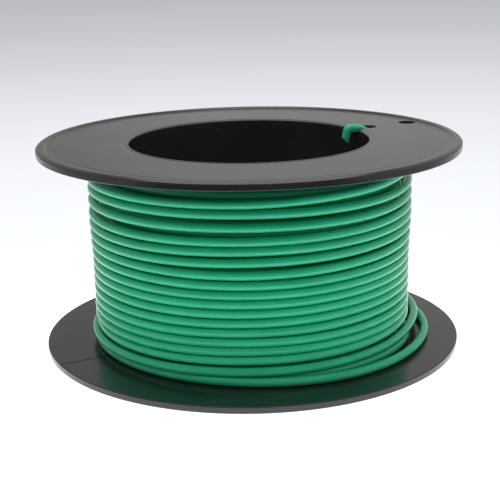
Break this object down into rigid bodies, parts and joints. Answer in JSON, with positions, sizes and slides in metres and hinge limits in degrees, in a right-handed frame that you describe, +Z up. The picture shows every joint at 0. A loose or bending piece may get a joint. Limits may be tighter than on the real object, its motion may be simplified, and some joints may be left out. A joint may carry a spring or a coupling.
{
  "type": "wire spool",
  "caption": "Plastic reel with wide round flanges and a large open core, wound in layers with insulated single-core wire.",
  "frame": {"origin": "centre of the lower flange's outer face, on the surface that the spool stands on", "axes": "+Z up along the reel's axis, +X to the right and +Y away, as the spool is seen from the front"},
  "size_m": [0.16, 0.16, 0.0807],
  "materials": {
    "reel_plastic": "injection-moulded black styrene, satin gloss",
    "barrel_plastic": "injection-moulded black styrene, satin",
    "insulation": "extruded green flexible PVC, soft gloss",
    "conductor": "bare stranded copper, bright cut end"
  },
  "bodies": {
    "root": {"lower_flange": "reel_plastic", "upper_flange": "reel_plastic", "barrel": "barrel_plastic", "winding_layer_1": "insulation", "winding_layer_2": "insulation", "winding_layer_3": "insulation", "loose_turn_upper": "insulation", "loose_turn_lower": "insulation", "start_lead": "insulation", "start_lead_end": "insulation", "start_conductor": "conductor", "finish_lead": "insulation", "finish_lead_end": "insulation", "finish_conductor": "conductor"}
  },
  "joints": []
}
